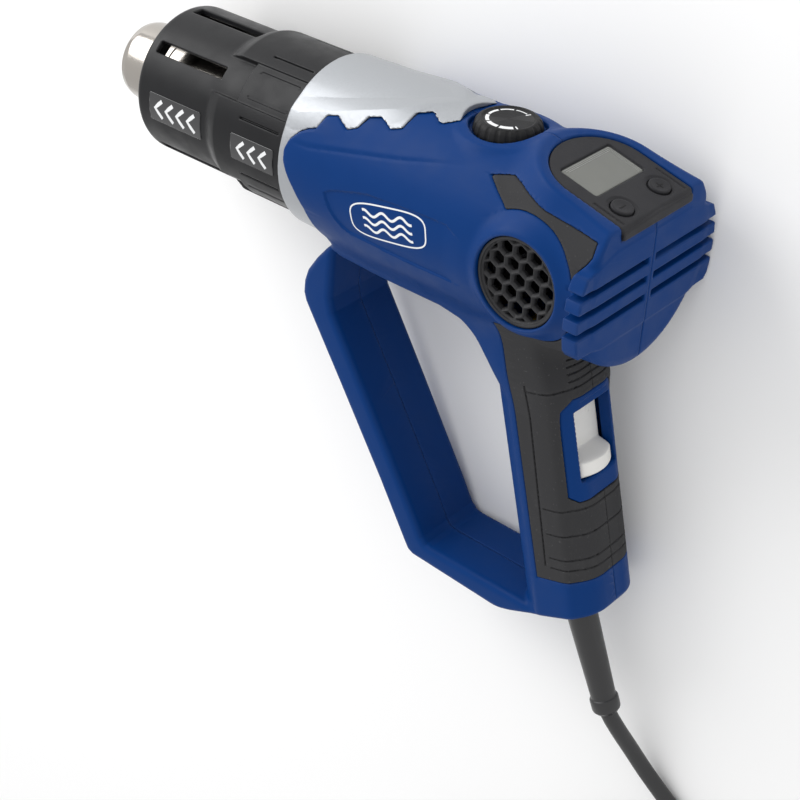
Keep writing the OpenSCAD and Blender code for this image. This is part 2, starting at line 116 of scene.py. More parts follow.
def surface(name, colour, rough, metal=0.0, coat=0.0, mottle=0.06, mottle_size=9, grain=0.15, grain_size=0.5,
            worn=0.0, rough_range=0.08, stretch=(1, 1, 1), sheen=0.0, speck=0.0, gloss=0.5):
    """A material of one colour with mottling, moulded grain, uneven gloss, worn edges and light specks.

    Sizes are in millimetres, and mottle and rough_range are how far colour and roughness vary.
    """
    made = bpy.data.materials.new(name)
    made.use_nodes = True
    tree = made.node_tree
    shader = tree.nodes["Principled BSDF"]

    def blend(amount, one, other):
        return node_of(tree, "ShaderNodeMix", {0: amount, 6: one, 7: other}, data_type="RGBA").outputs[2]

    place = node_of(tree, "ShaderNodeTexCoord").outputs["Object"]
    place = node_of(tree, "ShaderNodeMapping", {"Vector": place, "Scale": stretch}).outputs[0]
    broad = node_of(tree, "ShaderNodeTexNoise", {"Vector": place, "Scale": 1000 / mottle_size, "Detail": 4.0})
    fine = node_of(tree, "ShaderNodeTexNoise", {"Vector": place, "Scale": 1000 / grain_size, "Detail": 3.0})
    dark = [c * (1 - mottle) for c in colour] + [1]
    light = [min(1, c * (1 + mottle)) for c in colour] + [1]
    mix = blend(broad.outputs[0], dark, light)
    if worn:
        edge = node_of(tree, "ShaderNodeNewGeometry").outputs["Pointiness"]
        edge = node_of(tree, "ShaderNodeMapRange", {0: edge, 1: 0.52, 2: 0.6, 3: 0.0, 4: worn}).outputs[0]
        pale = [min(1, 0.75 * c + 0.12) for c in colour] + [1]
        mix = blend(edge, mix, pale)
    if speck:
        dots = node_of(tree, "ShaderNodeTexNoise", {"Vector": place, "Scale": 900.0, "Detail": 1.0})
        dots = node_of(tree, "ShaderNodeMapRange", {0: dots.outputs[0], 1: 0.7, 2: 0.76, 3: 0.0, 4: speck})
        pale = [min(1, c + 0.3) for c in colour] + [1]
        mix = blend(dots.outputs[0], mix, pale)
    tree.links.new(mix, shader.inputs["Base Color"])
    spread = {0: broad.outputs[0], 1: 0.3, 2: 0.7, 3: max(0.02, rough - rough_range), 4: rough + rough_range}
    tree.links.new(node_of(tree, "ShaderNodeMapRange", spread).outputs[0], shader.inputs["Roughness"])
    bump = node_of(tree, "ShaderNodeBump", {"Strength": grain, "Distance": 0.0002, "Height": fine.outputs[0]})
    tree.links.new(bump.outputs[0], shader.inputs["Normal"])
    shader.inputs["Metallic"].default_value = metal
    shader.inputs["Coat Weight"].default_value = coat
    shader.inputs["Coat Roughness"].default_value = 0.15
    shader.inputs["Sheen Weight"].default_value = sheen
    shader.inputs["Specular IOR Level"].default_value = gloss
    return made


BLUE = surface("blue_abs", (0.0006, 0.033, 0.16), 0.45, mottle=0.05, grain=0.12, grain_size=0.45,
               worn=0.15, gloss=0.1)
RUBBER = surface("grey_rubber", (0.038, 0.038, 0.04), 0.75, mottle=0.08, grain=0.35, grain_size=0.5,
                 worn=0.15, speck=0.08, gloss=0.12)
SILVER = surface("silver_paint", (0.36, 0.375, 0.395), 0.38, metal=0.5, coat=0.1, mottle=0.1, mottle_size=0.9,
                 grain=0.1, grain_size=0.35)
GUARD = surface("guard_black", (0.009, 0.0092, 0.0105), 0.4, mottle=0.12, grain=0.15, grain_size=0.5,
                worn=0.2, gloss=0.2)
LABEL = surface("label_gloss", (0.012, 0.012, 0.014), 0.12, coat=0.5, grain=0.02, rough_range=0.03)
PRINT = surface("white_print", (0.8, 0.81, 0.82), 0.35, grain=0.05, mottle=0.02)
STEEL = surface("nozzle_steel", (0.4, 0.375, 0.345), 0.16, metal=1.0, mottle=0.12, mottle_size=14, grain=0.12,
                grain_size=0.4, stretch=(0.15, 1, 1))
MICA = surface("mica", (0.4, 0.28, 0.13), 0.4, mottle=0.3, mottle_size=3, grain=0.4)
CERAMIC = surface("ceramic", (0.72, 0.66, 0.54), 0.7, mottle=0.08, grain=0.3, grain_size=0.8)
WIRE = surface("heater_wire", (0.14, 0.12, 0.11), 0.45, metal=0.9, mottle=0.25, mottle_size=2)
ZINC = surface("motor_can", (0.38, 0.39, 0.4), 0.4, metal=0.9, mottle=0.15, mottle_size=3)
BOARD = surface("circuit_board", (0.01, 0.12, 0.035), 0.35, coat=0.3, mottle=0.25, mottle_size=2)
SHAFT = surface("ground_steel", (0.5, 0.5, 0.51), 0.25, metal=1.0, mottle=0.06, stretch=(0.1, 1, 1))
BLACK = surface("moulded_black", (0.014, 0.014, 0.015), 0.45, mottle=0.15, worn=0.2)
PANEL = surface("panel_grey", (0.022, 0.022, 0.025), 0.55, mottle=0.08, grain=0.3, grain_size=0.4, worn=0.15,
                gloss=0.2)
GRILLE = surface("grille_grey", (0.026, 0.026, 0.028), 0.5, mottle=0.1, grain=0.25, grain_size=0.5, worn=0.2,
                 gloss=0.25)
DIAL = surface("dial_black", (0.013, 0.013, 0.014), 0.55, mottle=0.1, grain=0.35, grain_size=0.4, worn=0.2,
               gloss=0.2)
LCD = surface("display_window", (0.13, 0.134, 0.12), 0.14, coat=0.3, mottle=0.12, mottle_size=12, grain=0.02)
# A lighter grey painted on as highlight where the steps of the display window's edge catch light
LCD_STEP_HIGHLIGHT = surface("display_step_highlight", (0.26, 0.265, 0.25), 0.25, coat=0.3, mottle=0.1, grain=0.05)
LCD_BACK = surface("display_back", (0.02, 0.03, 0.03), 0.4)
SLIDER = surface("slider_white", (0.78, 0.77, 0.74), 0.38, mottle=0.03, grain=0.1, worn=0.1)
YELLOW = surface("capacitor_yellow", (0.6, 0.38, 0.03), 0.3, coat=0.3)
CORD = surface("cord_pvc", (0.017, 0.017, 0.018), 0.38, mottle=0.12, grain=0.25, grain_size=0.7, coat=0.08)
TIE = surface("tie_black", (0.01, 0.01, 0.01), 0.25, coat=0.2)
NICKEL = surface("pin_nickel", (0.62, 0.6, 0.56), 0.18, metal=1.0, mottle=0.06)

BY_SLOT = {
    "shell_blue": BLUE, "rubber_grey": RUBBER, "silver_paint": SILVER, "guard_black": GUARD,
    "label_black": LABEL, "nozzle_steel": STEEL, "mica": MICA, "ceramic": CERAMIC, "heater_wire": WIRE,
    "motor_steel": ZINC, "circuit_board": BOARD, "shaft_steel": SHAFT, "moulded_black": BLACK,
    "panel_grey": PANEL, "dial_black": DIAL, "lcd_glass": LCD, "lcd_back": LCD_BACK,
    "slider_white": SLIDER, "capacitor_yellow": YELLOW, "cord_rubber": CORD, "tie_black": TIE,
    "plug_black": CORD, "pin_nickel": NICKEL,
}
for entry in frame["record"]["subparts"]:
    cad_piece = bpy.data.objects[entry["node"]]
    for material_slot in cad_piece.material_slots:
        material_slot.material = BY_SLOT[entry["material_slot"]]

# ---- Pieces from points and faces ----


def piece(name, points, faces, material, body="housing", replaces=(), slot=None, place=laid, normals=None):
    """A smooth-shaded piece that rides on a body; points are in millimetres."""
    mesh = bpy.data.meshes.new(name)
    mesh.from_pydata(place(points).tolist() if len(points) < 20000 else place(points), [], faces)
    mesh.polygons.foreach_set("use_smooth", np.ones(len(mesh.polygons), bool))
    mesh.materials.append(material)
    mesh.update()
    if normals is not None:
        turn = TURN.T if place is laid else np.eye(3)
        mesh.normals_split_custom_set_from_vertices((normals @ turn).tolist())
    made = bpy.data.objects.new(name, mesh)
    bpy.context.scene.collection.objects.link(made)
    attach(made, body)
    if replaces:
        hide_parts(*replaces)
    return made


def add_bevel(obj, width, segments=2, angle=35):
    made = obj.modifiers.new("edge", "BEVEL")
    made.width = width / 1000
    made.segments = segments
    made.limit_method = "ANGLE"
    made.angle_limit = math.radians(angle)
    made.harden_normals = True
    return obj


# ---- Solids from distance functions ----
# Each function takes arrays x, y, z in millimetres and gives the distance to its surface, negative inside.


def smin(a, b, k):
    h = np.maximum(k - np.abs(a - b), 0)
    return np.minimum(a, b) - h * h / (4 * k)


def smax(a, b, k):
    h = np.maximum(k - np.abs(a - b), 0)
    return np.maximum(a, b) + h * h / (4 * k)


def ramp(v, start, end):
    t = np.clip((v - start) / (end - start), 0, 1)
    return t * t * (3 - 2 * t)


def slab(v, low, high):
    return np.maximum(low - v, v - high)


def rounded_box(u, v, half_u, half_v, r):
    a, b = np.abs(u) - half_u + r, np.abs(v) - half_v + r
    return np.hypot(np.maximum(a, 0), np.maximum(b, 0)) + np.minimum(np.maximum(a, b), 0) - r


def outline(u, v, corners):
    """Distance to a closed polygon."""
    near = np.full(u.shape, 1e9, np.float32)
    inside = np.zeros(u.shape, bool)
    for (au, av), (bu, bv) in zip(corners, corners[1:] + corners[:1]):
        eu, ev = bu - au, bv - av
        wu, wv = u - au, v - av
        t = np.clip((wu * eu + wv * ev) / (eu * eu + ev * ev), 0, 1)
        near = np.minimum(near, (wu - eu * t) ** 2 + (wv - ev * t) ** 2)
        if av != bv:
            inside ^= ((av > v) != (bv > v)) & (u < eu * (v - av) / ev + au)
    return np.where(inside, -1, 1) * np.sqrt(near)


def soft_corners(corners, passes=1):
    """The polygon with its corners cut, a quarter in from each end of a side."""
    for _ in range(passes):
        cut = []
        for (au, av), (bu, bv) in zip(corners, corners[1:] + corners[:1]):
            cut.append((0.75 * au + 0.25 * bu, 0.75 * av + 0.25 * bv))
            cut.append((0.25 * au + 0.75 * bu, 0.25 * av + 0.75 * bv))
        corners = cut
    return corners


CELL = 8
EDGES = [(a, b) for a in range(8) for b in range(a + 1, 8) if bin(a ^ b).count("1") == 1]
CORNERS = np.array([[k >> 2 & 1, k >> 1 & 1, k & 1] for k in range(8)])


def gradient(shape, points, step=0.05):
    """The unit gradient by four samples at the corners of a small tetrahedron, and the distance."""
    total = np.zeros_like(points)
    level = 0
    for corner in ((1, -1, -1), (-1, -1, 1), (-1, 1, -1), (1, 1, 1)):
        corner = np.array(corner, np.float32)
        value = shape(*(points + step * corner).T)
        total += value[:, None] * corner
        level = level + value / 4
    length = np.linalg.norm(total, axis=1, keepdims=True)
    return total / np.maximum(length, 1e-9), level, length[:, 0] / (4 * step)


def thin(points, faces, keep):
    """The mesh with only part of its faces kept, fewest where it is flattest."""
    mesh = bpy.data.meshes.new("dense")
    mesh.from_pydata(points, [], faces)
    dense = bpy.data.objects.new("dense", mesh)
    bpy.context.scene.collection.objects.link(dense)
    dense.modifiers.new("fewer", "DECIMATE").ratio = keep
    made = bpy.data.meshes.new_from_object(dense.evaluated_get(bpy.context.evaluated_depsgraph_get()))
    points = np.empty(len(made.vertices) * 3, np.float32)
    made.vertices.foreach_get("co", points)
    faces = [tuple(face.vertices) for face in made.polygons]
    bpy.data.objects.remove(dense)
    bpy.data.meshes.remove(mesh)
    bpy.data.meshes.remove(made)
    return points.reshape(-1, 3), faces


def solid(name, shape, low, high, size, material, keep=0.6, **more):
    """A closed mesh of a distance function, from a grid of cells of the given size near its surface."""
    size = size * 1
    low = np.array(low, float) - size
    count = np.ceil((np.array(high) + size - low) / (size * CELL)).astype(int)
    blocks = np.stack(np.meshgrid(*[np.arange(c) for c in count], indexing="ij"), -1).reshape(-1, 3)
    centre = low + (blocks + 0.5) * size * CELL
    blocks = blocks[np.abs(shape(*centre.T.astype(np.float32))) < size * CELL * 1.0]
    local = np.stack(np.meshgrid(*[np.arange(CELL + 1)] * 3, indexing="ij"), -1)
    shape_of = np.array(count * CELL + 3, np.int64)

    def number(q):
        q = q + 1
        return (q[..., 0] * shape_of[1] + q[..., 1]) * shape_of[2] + q[..., 2]

    ids, points, quads = [], [], []
    for some in np.array_split(blocks, max(1, len(blocks) // 800)):
        at = some[:, None, None, None] * CELL + local
        value = shape(*(low + at * size).reshape(-1, 3).T.astype(np.float32)).reshape(at.shape[:-1])
        value = np.where(value == 0, 1e-6, value)
        cube = np.stack([value[:, i:CELL + i, j:CELL + j, k:CELL + k] for i, j, k in CORNERS], -1)
        inside = (cube < 0).sum(-1)
        b, i, j, k = np.nonzero((inside > 0) & (inside < 8))
        cube, first = cube[b, i, j, k], at[b, i, j, k]
        total, hits = np.zeros((len(b), 3)), np.zeros(len(b))
        for p, q in EDGES:
            crosses = (cube[:, p] < 0) != (cube[:, q] < 0)
            t = np.where(crosses, cube[:, p] / np.where(crosses, cube[:, p] - cube[:, q], 1), 0)
            total += (CORNERS[p] + (CORNERS[q] - CORNERS[p]) * t[:, None]) * crosses[:, None]
            hits += crosses
        ids.append(number(first))
        points.append(low + (first + total / hits[:, None]) * size)
        for axis in range(3):
            step = [slice(0, CELL)] * 3
            step[axis] = slice(1, CELL + 1)
            here, there = value[:, :CELL, :CELL, :CELL], value[(slice(None), *step)]
            b, i, j, k = np.nonzero((here < 0) != (there < 0))
            q = at[b, i, j, k]
            one, two = np.eye(3, dtype=int)[(axis + 1) % 3], np.eye(3, dtype=int)[(axis + 2) % 3]
            ring = np.stack([number(q), number(q - one), number(q - one - two), number(q - two)], 1)
            quads.append(np.where((here[b, i, j, k] < 0)[:, None], ring, ring[:, ::-1]))
    ids, quads = np.concatenate(ids), np.concatenate(quads)
    points = np.concatenate(points).astype(np.float32)
    order = np.argsort(ids)
    spot = np.searchsorted(ids[order], quads)
    spot = np.minimum(spot, len(ids) - 1)
    whole = (ids[order][spot] == quads).all(1)
    quads = order[spot[whole]]
    slope, level, steep = gradient(shape, points)
    points = points - slope * np.clip(level / np.maximum(steep, 0.3), -0.6 * size, 0.6 * size)[:, None]
    points, quads = thin(points, quads, keep)
    slope, level, steep = gradient(shape, points)
    points = points - slope * np.clip(level / np.maximum(steep, 0.3), -0.3 * size, 0.3 * size)[:, None]
    slope, _, _ = gradient(shape, points)
    return piece(name, points, quads, material, normals=slope, **more)


# ---- Mains cord ----


def spline(points, step):
    """A smooth line through the points, with its own points about a step apart."""
    points = np.array(points, float)
    points = np.concatenate([[2 * points[0] - points[1]], points, [2 * points[-1] - points[-2]]])
    line = []
    for a, b, c, d in zip(points, points[1:], points[2:], points[3:]):
        count = max(2, int(np.linalg.norm(c - b) / step + 0.5))
        t = np.arange(count)[:, None] / count
        bend, twist = 2 * a - 5 * b + 4 * c - d, 3 * b - a - 3 * c + d
        line.append(0.5 * (2 * b + (c - a) * t + bend * t**2 + twist * t**3))
    return np.concatenate(line + [points[-2:-1]])


def sweep(name, line, section, material, closed=False, across=None, **more):
    """A solid swept along a line, with the section's points across and up from each point of the line."""
    line = np.asarray(line, float)
    ahead = np.roll(line, -1, 0) - np.roll(line, 1, 0)
    if not closed:
        ahead[0], ahead[-1] = line[1] - line[0], line[-1] - line[-2]
    ahead /= np.linalg.norm(ahead, axis=1, keepdims=True)
    if across is None:
        across = np.cross(ahead, (0, 0, 1))
    else:
        across = np.tile(np.array(across, float), (len(line), 1))
    across /= np.linalg.norm(across, axis=1, keepdims=True)
    up = np.cross(across, ahead)
    section = np.asarray(section, float)
    n = len(section)
    points = np.concatenate([
        line[k] + section[:, :1] * across[k] + section[:, 1:] * up[k] for k in range(len(line))
    ])
    faces = [
        (k * n + i, k * n + (i + 1) % n, (k + 1) % len(line) * n + (i + 1) % n, (k + 1) % len(line) * n + i)
        for k in range(len(line) - (not closed)) for i in range(n)
    ]
    if not closed:
        faces += [tuple(range(n))[::-1], tuple(range((len(line) - 1) * n, len(line) * n))]
    return piece(name, points, faces, material, **more)


def circle(r, sides):
    turn = np.arange(sides) * 2 * math.pi / sides
    return np.stack([r * np.cos(turn), r * np.sin(turn)], 1)


CORD_R = 3.5
RELIEF_FROM = np.array([-135, 0, -156.6])
RELIEF_DIR = np.array([-math.sin(math.radians(22.8)), 0, -math.cos(math.radians(22.8))])
RELIEF_END = laid(RELIEF_FROM + 54 * RELIEF_DIR) * 1000
LEAD = [(-137.5, 128, 15), (-143.5, 138.5, 10), (-151, 149, 6), (-161.6, 158.5, 4), (-173, 166.6, 3.6),
        (-188, 178, 3.6), (-202, 188.5, 3.6)]
TAIL = [(-176, 277, 4), (-158, 277, 4), (-141, 273.5, 5.5), (-128, 268.8, 8.3), (-119, 268, 9),
        (-110, 268, 9)]
COIL = (-184, 232)
# Degrees travelled clockwise from where the cord joins the coil, distance from its middle, and height
WINDING = [(0, 47, 3.6), (55, 38.5, 3.6), (360, 38.5, 3.6), (415, 31.5, 3.6), (650, 31.5, 3.6),
           (690, 32, 6.9), (725, 35, 9.8), (1080, 35, 9.8), (1135, 42, 9.8), (1375, 42, 9.8),
           (1410, 39, 15.6), (1445, 31.5, 15.8), (1800, 31.5, 15.8), (1855, 38.5, 15.8),
           (2160, 38.5, 15.8), (2215, 45.5, 15.8), (2515, 45.5, 15.8), (2570, 48, 9.8), (2625, 45.8, 4),
           (2665, 45.7, 4)]


def coil_points():
    turns, radii, heights = np.array(WINDING, float).T
    at = np.arange(0, 2666, 20.5)
    eased = []
    for value in (radii, heights):
        k = np.clip(np.searchsorted(turns, at, "right") - 1, 0, len(turns) - 2)
        t = ramp(at, turns[k], turns[k + 1])
        eased.append(value[k] + (value[k + 1] - value[k]) * t)
    angle = np.radians(235 - at)
    wobble = 0.35 * np.sin(3.1 * angle + at / 90)
    r = eased[0] + wobble
    return np.stack([COIL[0] + r * np.cos(angle), COIL[1] + r * np.sin(angle), eased[1]], 1).tolist()


def add_cord():
    inner = RELIEF_END - 8 * (laid(RELIEF_DIR) - laid(np.zeros(3))) * 1000
    line = spline([inner.tolist(), RELIEF_END.tolist()] + LEAD + coil_points() + TAIL, 4.5)
    section = circle(CORD_R, 14)
    made = sweep("mains_cord", line, section, CORD, place=on_floor, slot="cord_rubber",
                 replaces=("cord_lead", "cord_coil", "cord_tail"))
    return made, line


cord, cord_line = add_cord()

# Lengths along the relief, and its radius there: a root, a taper, and a collar at the end
RELIEF_SHAPE = [(-3, 6.7), (3, 6.7), (4.2, 6.5), (46, 5.3), (46.4, 5.3), (46.8, 5.9), (47.4, 6.1),
                (51.8, 6.05), (52.6, 5.8), (53, 5.2), (54, 4.6), (54, 3.55)]


def add_relief():
    lengths = sorted({s for s, _ in RELIEF_SHAPE} | set(np.arange(6, 46, 1.0)))
    shape_s, shape_r = np.array(RELIEF_SHAPE[:-1]).T
    profile = [(s, float(np.interp(s, shape_s, shape_r))) for s in lengths] + [(53.99, 3.6), (44, 3.6)]
    n = 36
    turn = np.arange(n) * 2 * math.pi / n
    ring = np.cos(turn)[:, None] * (0, 1.0, 0) + np.sin(turn)[:, None] * np.cross(RELIEF_DIR, (0, 1.0, 0))
    points = np.concatenate([RELIEF_FROM + s * RELIEF_DIR + r * ring for s, r in profile])
    faces = [
        (k * n + i, k * n + (i + 1) % n, (k + 1) * n + (i + 1) % n, (k + 1) * n + i)
        for k in range(len(profile) - 1) for i in range(n)
    ]
    faces += [tuple(range(n))[::-1], tuple(range(len(points) - n, len(points)))]
    add_bevel(piece("relief", points, faces, CORD, replaces=("strain_relief",), slot="cord_rubber"), 0.25)


add_relief()


def add_tie():
    """A twist tie: a flat strip round the bundle, raised along its middle."""
    corners = soft_corners([(-49.6, 0.5), (-27.2, 0.5), (-27.2, 19.7), (-49.6, 19.7)], 3)
    line = [(COIL[0] + u, COIL[1], w) for u, w in corners]
    section = [(-2.1, -0.45), (2.1, -0.45), (2.1, 0.0), (0.6, 0.1), (0.45, 0.45), (-0.45, 0.45), (-0.6, 0.1),
               (-2.1, 0.0)]
    sweep("tie", line, section, TIE, closed=True, place=on_floor, across=(0, 1, 0),
          replaces=("coil_tie",), slot="tie_black")


add_tie()


def plug(x, y, z):
    u, v, w = x + 95, y - 268, z - 9
    plan = outline(u, v, PLUG_PLAN)
    grips = 0.35 * np.cos(u * math.pi * 2 / 3.4) * ramp(np.abs(v), 11, 14) * ramp(-np.abs(u + 3), -12, -9)
    body_d = smax(plan + grips, np.abs(w) - 8.9 + 0.01 * np.abs(u), 4)
    neck = smax(np.hypot(v, w) - 5.4 + 0.06 * (u + 18), slab(u, -17.9, -8), 1)
    face = smax(rounded_box(v, w, 13.5, 6.2, 5), slab(u, 16.5, 18), 0.6)
    return smin(smin(body_d, neck, 3), face, 0.5)


PLUG_PLAN = soft_corners([(-17.5, -5.5), (-17.5, 5.5), (-12, 9), (0, 17.2), (9, 18.4), (17.2, 17.4),
                          (17.2, -17.4), (9, -18.4), (0, -17.2), (-12, -9)], 2)
solid("plug", plug, (-114, 248, -1), (-76, 288, 19), 0.6, CORD, place=on_floor, replaces=("plug_body",),
      slot="plug_black")

# ---- Floor and light ----


def add_floor():
    mesh = bpy.data.meshes.new("floor")
    corners = [(-3, -3), (3, -3), (3, 3), (-3, 3)]
    mesh.from_pydata([(x, y, -0.0002) for x, y in corners], [], [(0, 1, 2, 3)])
    white = surface("floor_white", (0.94, 0.94, 0.94), 0.7, mottle=0.0, grain=0.0, rough_range=0.0)
    mesh.materials.append(white)
    floor = bpy.data.objects.new("floor", mesh)
    bpy.context.scene.collection.objects.link(floor)


def add_light(name, eye_offset, size, watts):
    """A square softbox aimed at the gun; the offset is across, up and towards the camera, in metres."""
    lamp = bpy.data.objects.new(name, bpy.data.lights.new(name, "AREA"))
    target = Vector((-0.03, 0.02, 0.03))
    across, up, near = eye_offset
    place = target + EYE_X * across + EYE_Y * up + EYE_X.cross(EYE_Y) * near
    lamp.location = place
    lamp.rotation_euler = (target - place).to_track_quat("-Z", "Y").to_euler()
    lamp.data.shape = "SQUARE"
    lamp.data.size = size
    lamp.data.energy = watts
    bpy.context.scene.collection.objects.link(lamp)


add_floor()
add_light("key", (-0.85, 0.75, 0.3), 0.8, 8)
add_light("fill", (1.1, 0.3, 0.3), 0.9, 12)
add_light("top", (0.1, 0.9, -0.5), 0.8, 8)
world = bpy.data.worlds.new("studio")
world.use_nodes = True
world.node_tree.nodes["Background"].inputs["Color"].default_value = (1, 1, 1, 1)
world.node_tree.nodes["Background"].inputs["Strength"].default_value = 0.9
bpy.context.scene.world = world
bpy.context.scene.view_settings.view_transform = "Standard"

# ---- Gun body ----

DECK_X, DECK_Z, DECK_SLOPE = -104, 36.8, math.radians(14.4)
DECK_NOSE_X = -125
GRIP_LEAN, GRIP_MIDDLE = math.radians(14), -94.3
WALL, OVERMOULD, PARTING = 3.2, 1.4, 0.04
DIAL_X, DIAL_Z = -82, 31.4
INTAKE_X, INTAKE_Z = -117, -2

LOOP = [(-24, -24), (-9, -38.5), (-3.5, -45.2), (1, -52), (2.8, -57.5), (3.2, -63), (2.1, -66.9),
        (-0.2, -70.7), (-17.8, -98.2), (-41.7, -136.3), (-56.5, -161.5), (-58.5, -164.6), (-61.5, -166.2),
        (-108, -168.5), (-150, -168.5), (-125, -60), (-108, -24)]
OPENING = [(-13.4, -38), (-12.2, -60.4), (-13.6, -67), (-36.1, -103.7), (-60, -143.6), (-66, -154.5),
           (-68.5, -156.8), (-71, -157.3), (-127, -157.3), (-104, -62), (-95, -52), (-87, -45.5),
           (-79.5, -40.5), (-70, -37.6)]
SILVER_EDGE = [(3, 45), (-69, 45), (-71.3, 35.7), (-70.6, 35.1), (-62.7, 32.7), (-56.4, 34.2),
               (-51.3, 33.1), (-50.3, 28.9), (-46, 27.6), (-39.9, 29.8), (-35, 28.6), (-32.7, 24.6),
               (-28.6, 23), (-22.4, 25.9), (-17.9, 24.8), (-15.5, 19.9), (-12, 18.8), (-8.9, 17.1),
               (-5.3, 13.5), (-3.9, 9.7), (-4.3, 5.2), (-6.2, 1), (-10, -5.4), (-13.6, -12.4),
               (-15.3, -20.8), (-17, -27), (-10, -36.5), (-8, -45), (3, -45)]
RUBBER_EDGE = [(-93.5, 26.8), (-102.4, 28.9), (-108, 28.1), (-121, 25.2), (-139, 23), (-144.6, 22.1),
               (-144.9, 17.4), (-143.6, 14.8), (-142, 12.5), (-140, 8), (-139.3, 0), (-139, -8),
               (-140.5, -17.6), (-137, -27), (-133, -37), (-150, -62), (-176, -110), (-153.7, -131.2),
               (-126.7, -139.5), (-101.1, -36.6), (-99.3, -30.8), (-113, -27), (-128, -18.5), (-136, -12),
               (-136, 2), (-125, 14), (-106, 19.8), (-98.8, 23.8)]
MARK_PANEL = soft_corners([(-26, 0.6), (-38, 4.2), (-50, 6.6), (-95, 8), (-95, -14.8), (-81, -14.8),
                           (-62, -15.1), (-42.4, -13.7), (-35.7, -13.8), (-29.7, -8.8), (-26.6, -2.5)])
# The switch's frame in the grip's own side view: across the grip and along it
FRAME = [(-15.4, -91), (-11, -87.1), (11, -87.1), (15.4, -91), (15.4, -127.4), (12.5, -130.2),
         (-12.5, -130.2), (-15.4, -127.4)]
# Screws that hold the two shells together, in side view; their heads are in wells on the right
SCREWS = [(-20, -23), (-60, 23), (-84, -23), (-138, -14), (-111, -62), (-116.5, -120.5), (-6, -62),
          (-75, -162)]
FINS = [(22, 17), (30, 14.6), (38.6, 12.5), (40.8, 8), (42, -1), (42, -10), (40.8, -16.6), (39, -18.8),
        (22, -19.4), (-5, -19.4), (-5, 17)]


def turned(u, w, angle):
    c, s = math.cos(angle), math.sin(angle)
    return u * c + w * s, w * c - u * s


def deck_frame(x, z):
    """How far along the deck a point is, and how far above it."""
    return turned(x - DECK_X, z - DECK_Z, DECK_SLOPE)


def grip_frame(x, z):
    """How far ahead across the grip a point is, and how far up along it."""
    return turned(x, z, -GRIP_LEAN)


def grip_section(e, y):
    return rounded_box(e - GRIP_MIDDLE, y, 18.5, 18.3, 13)


def deck_plan(x, y, long, wide):
    """Distance to the deck's straight-sided plan with its half-elliptical front end."""
    a, b = np.maximum(x - DECK_NOSE_X, 0) / long, np.abs(y) / wide
    k0 = np.hypot(a, b)
    return k0 * (k0 - 1) / np.maximum(np.hypot(a / long, b / wide), 1e-6)


def barrel(x, y, z):
    """The main barrel: fuller below behind the guard, with long creases along each side."""
    side = np.abs(y)
    drop = 4.5 * ramp(-x, 8, 44) * ramp(x, -150, -118)
    r = np.hypot(y, z)
    d = smin(r - 36, np.hypot(y, z + drop) - 36 + 0.2 * drop, 4)
    angle = np.degrees(np.arctan2(z, side))
    along = (angle - np.interp(x, [-91, -76, -56, -30, -15], [53, 46, 37, 28, 23])) * 0.63
    fade = ramp(x, -96, -60) * ramp(-x, 5, 14)
    d = d + fade * (0.25 * np.exp(-((along + 0.8) / 0.8) ** 2) - 0.12 * np.exp(-((along - 1.2) / 1.2) ** 2))
    panel = outline(x, z, MARK_PANEL)
    d = d + 0.7 * ramp(-panel, -0.5, 0.5) * ramp(x, -93, -82)
    return d


def outer_body(x, y, z):
    """The whole outer skin of shells and rubber together, as if it were one solid."""
    side = np.abs(y)
    _, w = deck_frame(x, z)
    wall = deck_plan(x, y, 22.4, 25.9) - 0.42 * np.clip(-w, 0, 14) + 0.2
    d = smin(barrel(x, y, z), smax(wall * 0.92, np.maximum(slab(x, -160, -60), 2 - z), 1), 7)
    d = smax(d, -148 - x, 5 - 3.5 * ramp(z, 12, 20))
    d = smax(d, np.where(x < -99, w, -9), 1.5)
    collar = smax(np.hypot(x - DIAL_X, y) - 18.2 - 0.25 * np.maximum(32.2 - z, 0), z - 32.4, 1.6)
    d = smin(d, np.where(z > 18, collar, 9), 3)
    rho = np.hypot(x - INTAKE_X, z - INTAKE_Z)
    fall = np.clip(rho - 17.3, 0, 7.5)
    dome = (side - 37.3 + 0.2 * fall**2) / np.sqrt(1 + 0.16 * fall**2)
    d = smin(d, np.where(side > 10, smax(rho - 24.3, dome, 1), 9), 2.5)
    e, a = grip_frame(x, z)
    grip = smax(grip_section(e, y), a + 15, 1)
    d = smin(d, grip, 7)
    loop = smax(smax(outline(x, z, LOOP), -outline(x, z, OPENING), 0.5), side - 18.3, 3.5)
    d = smin(d, loop, 2.5 + 7 * ramp(z, -70, -50) * ramp(-x, 8, 20))
    foot = (x + 108) * math.sin(math.radians(24)) + (z + 168.5) * math.cos(math.radians(24))
    return smax(d, -foot, 2.5)


def fins(x, y, z):
    side = np.abs(y)
    return smax(outline(side, z, FINS), slab(x, -148, -141.5), 0.8)


def vents(x, y, z):
    """Three slots across the back, open at their outer ends."""
    side = np.abs(y)
    slots = np.minimum(slab(z, 4.4, 7), np.minimum(slab(z, -3, -0.4), slab(z, -10.4, -7.8)))
    return np.maximum(np.maximum(slots, 2 - side), np.minimum(x + 143.5, np.maximum(36.5 - side, x + 139)))


def from_screws(x, z):
    return np.min([np.hypot(x - u, z - v) for u, v in SCREWS], axis=0)


def frame_gap(y, e, a):
    return np.maximum(outline(y, a, FRAME) - 0.2, e + 105.3)


def rubber_depth(x, z):
    """Distance in side view to the rubber's outline, clear of the intake ring."""
    rho = np.hypot(x - INTAKE_X, z - INTAKE_Z)
    return smax(outline(x, z, RUBBER_EDGE), 24.6 - rho, 0.6)


